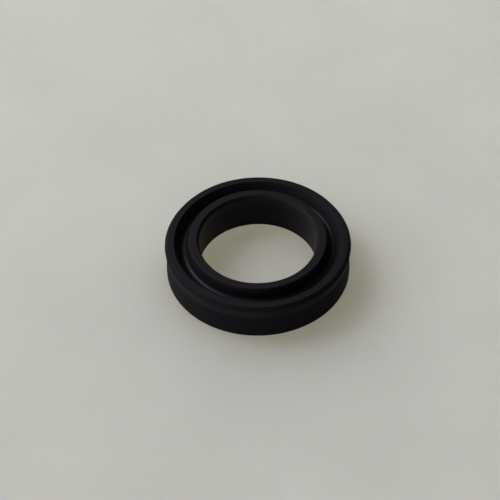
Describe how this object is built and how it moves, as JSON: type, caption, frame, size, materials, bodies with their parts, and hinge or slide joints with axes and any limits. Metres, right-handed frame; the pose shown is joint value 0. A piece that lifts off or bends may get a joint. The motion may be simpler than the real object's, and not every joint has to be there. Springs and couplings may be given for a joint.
{
  "type": "transmission oil seal",
  "caption": "Moulded rubber U-section oil seal: a flat-backed ring with an open groove between a waisted, flared outer lip and a bevelled inner lip, sealing a shaft in its housing.",
  "frame": {"origin": "centre of the flat back face, on the ring's axis", "axes": "+Z along the ring's axis, from the back face towards the open groove; the ring lies on its back face"},
  "size_m": [0.022, 0.022, 0.0049],
  "materials": {
    "rubber": "matt black moulded rubber"
  },
  "bodies": {
    "root": {"seal_ring": "rubber"}
  },
  "joints": []
}
